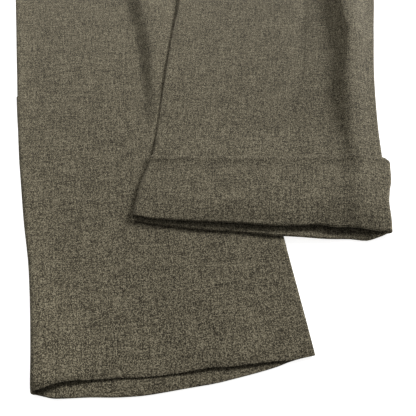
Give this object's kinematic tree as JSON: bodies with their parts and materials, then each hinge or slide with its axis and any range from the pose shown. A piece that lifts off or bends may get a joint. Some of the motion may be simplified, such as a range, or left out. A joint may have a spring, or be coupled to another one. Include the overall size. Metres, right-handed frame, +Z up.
{
  "type": "pleated dress trousers",
  "caption": "Pleated dress trousers laid flat, front side up, one leg with a plain hem and the other crossed over it with a turned-up cuff.",
  "frame": {"origin": "under the middle of the garment's box, at table height", "axes": "+Y from the hems to the waist, +Z up, +X towards the wearer's left leg"},
  "size_m": [0.546, 1.0979, 0.0188],
  "materials": {
    "wool": "matte heathered wool, plain weave",
    "horn": "polished dark horn-coloured button"
  },
  "bodies": {
    "root": {"front_right": "wool", "back_right": "wool", "front_left": "wool", "back_left": "wool", "cuff_front_left": "wool", "cuff_back_left": "wool", "fly": "wool", "waistband_right": "wool", "waistband_left": "wool", "pocket_edge_right": "wool", "pocket_edge_left": "wool", "waist_button": "horn", "belt_loop_1": "wool", "belt_loop_2": "wool", "belt_loop_3": "wool", "belt_loop_4": "wool", "belt_loop_5": "wool", "belt_loop_6": "wool", "belt_loop_7": "wool"}
  },
  "joints": []
}
